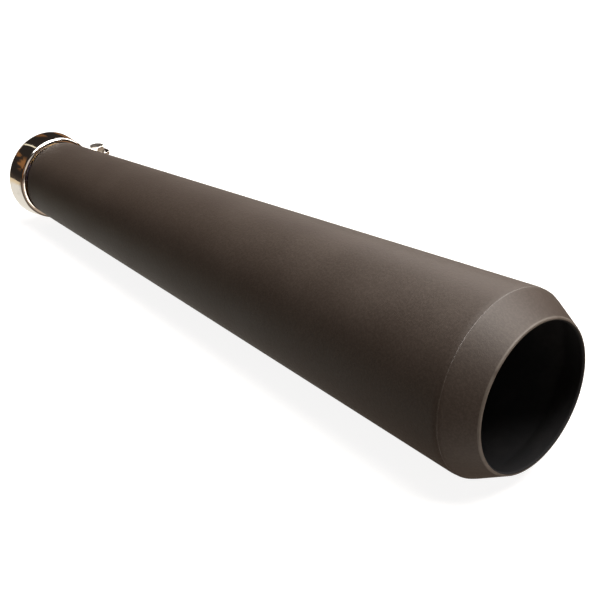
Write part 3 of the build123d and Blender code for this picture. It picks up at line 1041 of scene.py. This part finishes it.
def wool(x, turn):
    # gentle lumps that repeat round the sleeve
    return (
        0.5 * math.sin(0.21 * x + 3 * turn) + 0.3 * math.sin(0.47 * x - 5 * turn + 1)
        + 0.2 * math.sin(0.9 * x + 9 * turn)
    )


def makePacking():
    steps, segments = 150, 160
    run = packing["endX"] - packing["startX"]
    outline = []
    for step in range(steps + 1):
        x = packing["startX"] + run * step / steps
        pinch = packing["groove"] * (1 - smooth(tieGap(x) / packing["grooveReach"]))
        nearEnd = min(x - packing["startX"], packing["endX"] - x)
        rounding = packing["endRound"] * (1 - smooth(nearEnd / packing["endReach"]))
        outline.append((x, packingR(x) - pinch - rounding))
    points = []
    rings = [(packing["startX"], packing["coreR"])] + outline + [(packing["endX"], packing["coreR"])]
    for level, (x, r) in enumerate(rings):
        swell = packing["lump"] * smooth(tieGap(x) / packing["lumpReach"])
        onCore = level in (0, len(rings) - 1)
        for turn in circle(segments):
            place = r if onCore else r + swell * (wool(x, turn) - 0.8)
            points.append((x * mm, place * mm * math.cos(turn), place * mm * math.sin(turn)))
    faces = between(len(rings), segments, closed=True)
    sleeve = meshObject("fibreSleeve", points, faces, [finishes["glass_fibre"]], smoothAngle=60)
    values = {
        "Density": packing["strands"], "Strand Radius": packing["strandR"],
        "Bend Radius": packing["strandBend"], "Finish": finishes["glass_fibre"],
    }
    sleeve = grow(sleeve, strandTree(), values, "fibreSleeve")
    finishPiece(sleeve, "baffle", "glass_fibre", "glass_fibre_packing")


def tubeMesh(path, r, sides, closed, points, faces):
    # adds a round wire along a path in millimetres to lists of points and faces
    first, count = len(points), len(path)
    across = None
    for place, here in enumerate(path):
        if closed:
            ahead, behind = path[(place + 1) % count], path[place - 1]
        else:
            ahead, behind = path[min(place + 1, count - 1)], path[max(place - 1, 0)]
        along = (ahead - behind).normalized()
        if across is None:
            across = along.orthogonal()
        across = (across - along * along.dot(across)).normalized()
        other = along.cross(across)
        for angle in circle(sides):
            points.append((here + (across * math.cos(angle) + other * math.sin(angle)) * r) * mm)
    added = between(count, sides, closed) + ([] if closed else ends(count, sides))
    faces.extend(tuple(first + corner for corner in face) for face in added)


def makeTies():
    points, faces = [], []
    wireR, tailSteps = packing["wireR"], 60
    for tie, tieX in enumerate(tiePlaces):
        ringR = packingR(tieX) - wireR
        ring = [Vector((tieX, ringR * math.cos(turn), ringR * math.sin(turn))) for turn in circle(140)]
        tubeMesh(ring, wireR, 10, True, points, faces)
        # two ends twisted together and pressed flat along the wool
        tailTurn = packing["tailTurn"] + tie * packing["tailStep"]
        out = Vector((0, math.cos(tailTurn), math.sin(tailTurn)))
        side = Vector((1, 0, 0)).cross(out)
        thin = wireR * packing["tailThin"]
        for strand in (0, math.pi):
            path = []
            for step in range(tailSteps + 1):
                share = step / tailSteps
                twist = strand + share * 2 * math.pi * packing["tailTwists"]
                depth = ringR - packing["tailDip"] - share * packing["tailDive"]
                centre = Vector((tieX + share * packing["tailLength"], 0, 0)) + out * depth
                path.append(centre + (out * math.cos(twist) + side * math.sin(twist)) * thin)
            tubeMesh(path, thin, 8, False, points, faces)
    ties = meshObject("wireTies", points, faces, [finishes["tie_wire"]], smoothAngle=50)
    finishPiece(ties, "baffle", "tie_wire", "packing_wire_ties")


makePacking()
makeTies()
print("packing made")

# slotted rail and the nut inside it

slide = {
    "railHeight": 14.0,
    "railSheet": 2.5,
    "topGap": 0.3,
    "nutHeight": 6.5,
    "nutLength": 19.0,
    "nutWidth": 15.0,
    "nutCorner": 11.7,
    "boreR": 3.4,
    "mouth": 0.75,  # countersink at each end of the bore
    "threadDepth": 0.6,
    "pitch": 1.25,
    "edge": 0.4,
}


def makeSlideNut():
    # a block with a threaded bore, its rings running up the outside and down the thread
    sides = 144
    slope = math.tan(shell["taper"])
    along = Vector((1, 0, 0)) + backOut * slope
    normal = (backOut - Vector((1, 0, 0)) * slope).normalized()
    top = slide["railHeight"] - slide["railSheet"] - slide["topGap"]
    origin = Vector((back["railX"], 0, 0)) + backOut * coneR(back["railX"])
    place = axisPlace(origin + normal * (top - slide["nutHeight"]), normal, along)
    halfLength, halfWidth, corner = slide["nutLength"] / 2, slide["nutWidth"] / 2, slide["nutCorner"]

    def blockRing(z, inset):
        def reach(angle):
            c, s = abs(math.cos(angle)) + 1e-9, abs(math.sin(angle)) + 1e-9
            return min((halfLength - inset) / c, (halfWidth - inset) / s, corner - inset)

        return polarRing(z, sides, reach)

    def boreRing(z, mouth):
        def reach(angle):
            groove = slide["threadDepth"] * threadGroove(z, angle, slide["pitch"])
            return slide["boreR"] + max(groove, mouth)

        return polarRing(z, sides, reach)

    height, edge = slide["nutHeight"], slide["edge"]
    rings = [blockRing(0, edge), blockRing(edge, 0), blockRing(height - edge, 0), blockRing(height, edge)]
    steps = 44
    for step in range(steps + 1):
        z = height * (1 - step / steps)
        rings.append(boreRing(z, max(0, slide["mouth"] - min(z, height - z))))
    points = [place @ point for ring in rings for point in ring]
    faces = between(len(rings), sides, closed=True)
    nut = meshObject("railSlideNut", points, faces, [finishes["bright_zinc"]], smoothAngle=30)
    finishPiece(nut, "hanger_nut", "bright_zinc", "hanger_slot_nut")


def softenEdges(node, name, body, slot, width):
    # a copy of a designed part whose sharp edges are broken by a small round
    mesh = nodes[node].data.copy()
    work = bmesh.new()
    work.from_mesh(mesh)
    bmesh.ops.remove_doubles(work, verts=work.verts, dist=1e-6)
    bmesh.ops.dissolve_limit(work, angle_limit=math.radians(0.6), verts=work.verts, edges=work.edges)
    work.to_mesh(mesh)
    work.free()
    mesh.materials.clear()
    mesh.materials.append(finishes[slot])
    copy = newObject(name, mesh)
    bevel = copy.modifiers.new("edges", "BEVEL")
    bevel.width, bevel.segments = width * mm, 2
    bevel.limit_method, bevel.angle_limit = "ANGLE", math.radians(35)
    copy = settle(copy, name)
    shade(copy.data, 30)
    return finishPiece(copy, body, slot, node)


makeSlideNut()
softenEdges("hanger_rail", "hangerRail", "silencer", "black_paint", 0.35)
softenEdges("inlet_neck", "inletNeck", "silencer", "bare_steel", 0.25)
print("rail and neck made")

# camera, light and floor

studio = {
    "lens": 66.8,
    "sensor": 36.0,
    "cameraFromMouth": (0.2662, -0.3881, 0.2641),
    "aimPoint": (0.2833, 0.0, -0.0065),
    "floorSize": 24.0,
    "floorGap": 0.0004,  # air under the shoulder and the clamp
    "floorColour": rgb(0.30, 0.30, 0.30),
    "floorGlow": 0.88,
}

bodyCentre, tailCentre = (0.22, 0, 0), (0.43, 0, -0.03)

# name, direction from a centre, distance and size in metres, watts, colour, centre
panels = [
    ("overheadBox", (0.28, 0.24, 1.0), 1.5, (1.2, 1.2), 67, (1.0, 0.93, 0.87), bodyCentre),
    ("backBox", (-0.42, 0.80, 0.62), 1.5, (0.9, 0.9), 10, (1.0, 0.92, 0.86), bodyCentre),
    ("fillBox", (0.75, -0.50, 0.35), 1.6, (1.2, 1.0), 2.5, (1.0, 0.93, 0.86), bodyCentre),
    ("sheenBox", (0.14, -0.20, 1.0), 1.5, (0.7, 0.7), 14, (1.0, 0.95, 0.90), bodyCentre),
    ("floorBounce", (0.60, -0.30, -0.74), 0.35, (0.35, 0.35), 0.8, (1.0, 0.92, 0.84), tailCentre),
]

# the workshop around the object; an edge is a soft border on a unit direction
room = {
    "backdrop": rgb(0.93, 0.93, 0.925),
    "walls": rgb(0.030, 0.024, 0.020),
    "wood": rgb(0.32, 0.14, 0.05),
    "woodScale": 2.6,
    "woodEdge": (0.54, 0.60),  # of the pattern that picks boards out
    "woodTopEdge": (0.45, 0.60),
    "ceiling": rgb(0.30, 0.29, 0.28),
    "ceilingEdge": (0.75, 1.0),
    "bench": rgb(0.150, 0.112, 0.084),  # what the underside sees
    "benchEnd": rgb(0.60, 0.47, 0.37),  # its paler end and far side
    "benchEdge": (-0.05, 0.45),
    "benchEndEdge": (0.10, 0.70),
    "benchFarEdge": (0.40, 0.80),
    "card": rgb(0.98, 0.93, 0.84),  # white card in front of the inlet
    "cardTop": rgb(0.92, 0.74, 0.50),
    "cardSideEdge": (0.60, 0.68),
    "cardTopEdge": (0.17, 0.19),
    "cardLowEdge": (0.66, 0.74),
    "cardFade": (0.24, 0.34),
    "strip": rgb(1.3, 1.15, 0.85),  # narrow lamp that leans a little
    "stripPlace": 0.09,
    "stripLean": 0.05,
    "stripHalf": 0.022,
    "stripEdge": (0.7, 1.0),
    "stripSideEdge": (0.5, 0.6),
    "stripLowEdge": (0.3, 0.34),
}


def lookAt(thing, place, target):
    thing.location = place
    thing.rotation_euler = (Vector(target) - Vector(place)).to_track_quat("-Z", "Y").to_euler()


def makeCamera():
    data = bpy.data.cameras.new("camera")
    data.lens = studio["lens"]
    data.sensor_width = studio["sensor"]
    camera = newObject("camera", data)
    place = Vector((tail["mouthX"] * mm, 0, 0)) + Vector(studio["cameraFromMouth"])
    lookAt(camera, place, studio["aimPoint"])
    bpy.context.scene.camera = camera


def areaLight(name, direction, distance, size, power, colour, centre):
    data = bpy.data.lights.new(name, "AREA")
    data.shape = "RECTANGLE"
    data.size, data.size_y = size
    data.energy = power
    data.color = colour
    light = newObject(name, data)
    lookAt(light, Vector(centre) + Vector(direction).normalized() * distance, centre)
    return light


def makeFloor():
    # the plane that the shoulder and the clamp's front edge both rest on
    high = Vector((seamX * mm, 0, -seamR * mm))
    low = Vector(((clamp["startX"] + clamp["corner"]) * mm, 0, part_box("clamp_band")[0][2]))
    run = (high - low).normalized()
    side = Vector((0, 1, 0))
    middle = (high + low) / 2 - Vector((0, 0, studio["floorGap"]))
    half = studio["floorSize"] / 2
    corners = [middle + run * a * half + side * b * half for a, b in ((-1, -1), (1, -1), (1, 1), (-1, 1))]
    finish = Finish(
        "floorSweep", Base_Color=studio["floorColour"], Roughness=0.9, Specular_IOR_Level=0.0,
        Emission_Color=rgb(1, 1, 1), Emission_Strength=studio["floorGlow"],
    )
    floor = meshObject("floor", corners, [(0, 1, 2, 3)], [finish.material])
    floor.visible_diffuse = False  # the pale floor doesn't wash out the dark underside
    floor.visible_glossy = False
    floor.visible_shadow = False  # the room's light comes up through it


def makeWorld():
    # a dim brown workshop, seen only in reflections, around a pale backdrop
    world = bpy.data.worlds.new("studio")
    bpy.context.scene.world = world
    world.use_nodes = True
    graph = Graph(world.node_tree)
    sky = graph.node("ShaderNodeTexCoord")  # the direction of the view ray
    split = graph.node("ShaderNodeSeparateXYZ", {0: sky}).socket.node
    along, across, height = (Wire(graph, output) for output in split.outputs)
    below, ahead = 0 - height, 0 - along
    sockets = {"Vector": sky, "Scale": room["woodScale"], "Detail": 3.0}
    planks = graph.node("ShaderNodeTexNoise", sockets).step(*room["woodEdge"])
    boards = planks * (1 - height.step(*room["woodTopEdge"]))
    around = graph.blend(boards, room["walls"], room["wood"])
    around = graph.blend(height.step(*room["ceilingEdge"]), around, room["ceiling"])
    paler = along.step(*room["benchEndEdge"]) + across.step(*room["benchFarEdge"]) * 0.5
    bench = graph.blend(paler, room["bench"], room["benchEnd"])
    around = graph.blend(below.step(*room["benchEdge"]), around, bench)
    card = ahead.step(*room["cardSideEdge"]) * below.step(*room["cardTopEdge"])
    card = card * (1 - below.step(*room["cardLowEdge"]))
    cream = graph.blend(below.step(*room["cardFade"]), room["cardTop"], room["card"])
    around = graph.blend(card, around, cream)
    aside = (across + room["stripPlace"] + height * room["stripLean"]).size() / room["stripHalf"]
    strip = (1 - aside.step(*room["stripEdge"])) * ahead.step(*room["stripSideEdge"])
    strip = strip * height.step(*room["stripLowEdge"])
    around = graph.blend(strip, around, room["strip"])
    seen = graph.node("ShaderNodeLightPath")
    colour = graph.blend(seen, around, room["backdrop"])
    graph.tree.links.new(colour.socket, world.node_tree.nodes["Background"].inputs["Color"])


makeCamera()
makeFloor()
makeWorld()
lights = {panel[0]: areaLight(*panel) for panel in panels}
lights["sheenBox"].visible_diffuse = False  # only its sheen on the paint is wanted
bpy.context.scene.view_settings.view_transform = "Standard"
print("studio set")

for subpart in frame["record"]["subparts"]:
    node = nodes[subpart["node"]]
    node.data.materials.clear()
    node.data.materials.append(finishes[subpart["material_slot"]])
